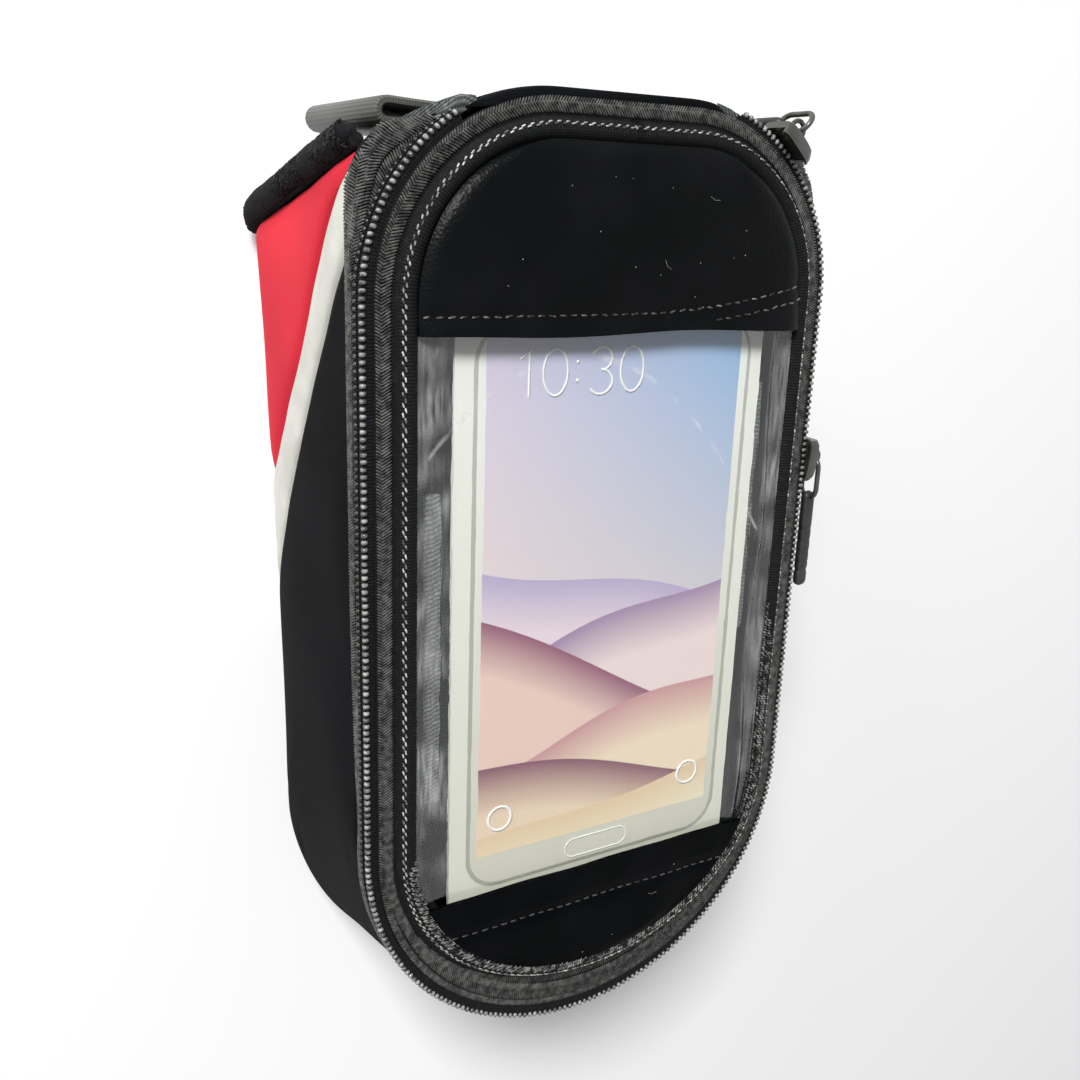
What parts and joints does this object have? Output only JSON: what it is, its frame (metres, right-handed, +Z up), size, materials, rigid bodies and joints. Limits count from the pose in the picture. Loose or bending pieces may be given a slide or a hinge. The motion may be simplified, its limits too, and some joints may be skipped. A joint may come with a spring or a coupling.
{
  "type": "bike phone bag",
  "caption": "Padded top-tube bag for a bicycle, with a clear phone window in a zipped lid, coloured side panels and straps for the frame and the head tube.",
  "frame": {"origin": "middle of the underside of the whole part's box, on the surface that it rests on", "axes": "+Z up out of the base, +Y towards the hinge end that faces the head tube, +X towards the side with the zip sliders"},
  "size_m": [0.1084, 0.1994, 0.0765],
  "materials": {
    "side_fabric": "matte",
    "base_fabric": "matte",
    "piping_fabric": "matte",
    "red_fabric": "matte",
    "reflective_fabric": "satin",
    "zip_tape": "matte",
    "zip_coil": "satin",
    "lining_fabric": "matte",
    "clear_film": "gloss",
    "vinyl": "satin",
    "card": "satin",
    "grey_tape": "matte",
    "webbing": "matte",
    "slider_metal": "satin",
    "grip_rubber": "matte"
  },
  "bodies": {
    "bag": {"wall_panel": "side_fabric", "end_panel": "side_fabric", "base_panel": "base_fabric", "end_piping": "piping_fabric", "red_panel_left": "red_fabric", "red_panel_right": "red_fabric", "reflective_band_left": "reflective_fabric", "reflective_band_right": "reflective_fabric", "box_zip_tape": "zip_tape", "box_coil": "zip_coil", "zip_end_tab_left": "zip_tape", "zip_end_tab_right": "zip_tape", "hinge_band": "side_fabric", "frame_strap_rear": "webbing", "frame_strap_front": "webbing", "head_strap": "webbing"},
    "lid": {"lid_rim": "lining_fabric", "lid_zip_tape": "zip_tape", "lid_coil": "zip_coil", "lid_binding": "zip_tape", "window_film": "clear_film", "top_flap": "vinyl", "bottom_band": "vinyl", "display_card": "card", "pocket_back": "lining_fabric", "pocket_mouth_hem": "zip_tape", "side_tape_left": "grey_tape", "side_tape_right": "grey_tape"},
    "slider_upper": {"slider_upper": "slider_metal"},
    "pull_upper": {"pull_upper_link": "slider_metal", "pull_upper_grip": "grip_rubber"},
    "slider_lower": {"slider_lower": "slider_metal"},
    "pull_lower": {"pull_lower_link": "slider_metal", "pull_lower_grip": "grip_rubber"}
  },
  "joints": [
    {"name": "lid_hinge", "type": "hinge", "parent": "bag", "child": "lid", "pos_m": [-0.00233, 0.09982, 0.07001], "axis": [-1, 0, 0], "range_deg": [0, 100]},
    {"name": "upper_slider_travel", "type": "hinge", "parent": "bag", "child": "slider_upper", "pos_m": [0.01167, 0.06341, 0.06746], "axis": [0, -0.0698, 0.9976], "range_deg": [-6.5, 8]},
    {"name": "upper_pull_swing", "type": "hinge", "parent": "slider_upper", "child": "pull_upper", "pos_m": [0.03782, 0.09615, 0.07221], "axis": [0.7837, -0.6196, -0.0433], "range_deg": [0, 100]},
    {"name": "lower_slider_travel", "type": "slide", "parent": "bag", "child": "slider_lower", "axis": [0, -0.9976, -0.0698], "range_m": [-0.028, 0.064]},
    {"name": "lower_pull_swing", "type": "hinge", "parent": "slider_lower", "child": "pull_lower", "pos_m": [0.05194, 0.02899, 0.06506], "axis": [0, -0.0698, 0.9976], "range_deg": [0, 170]}
  ]
}
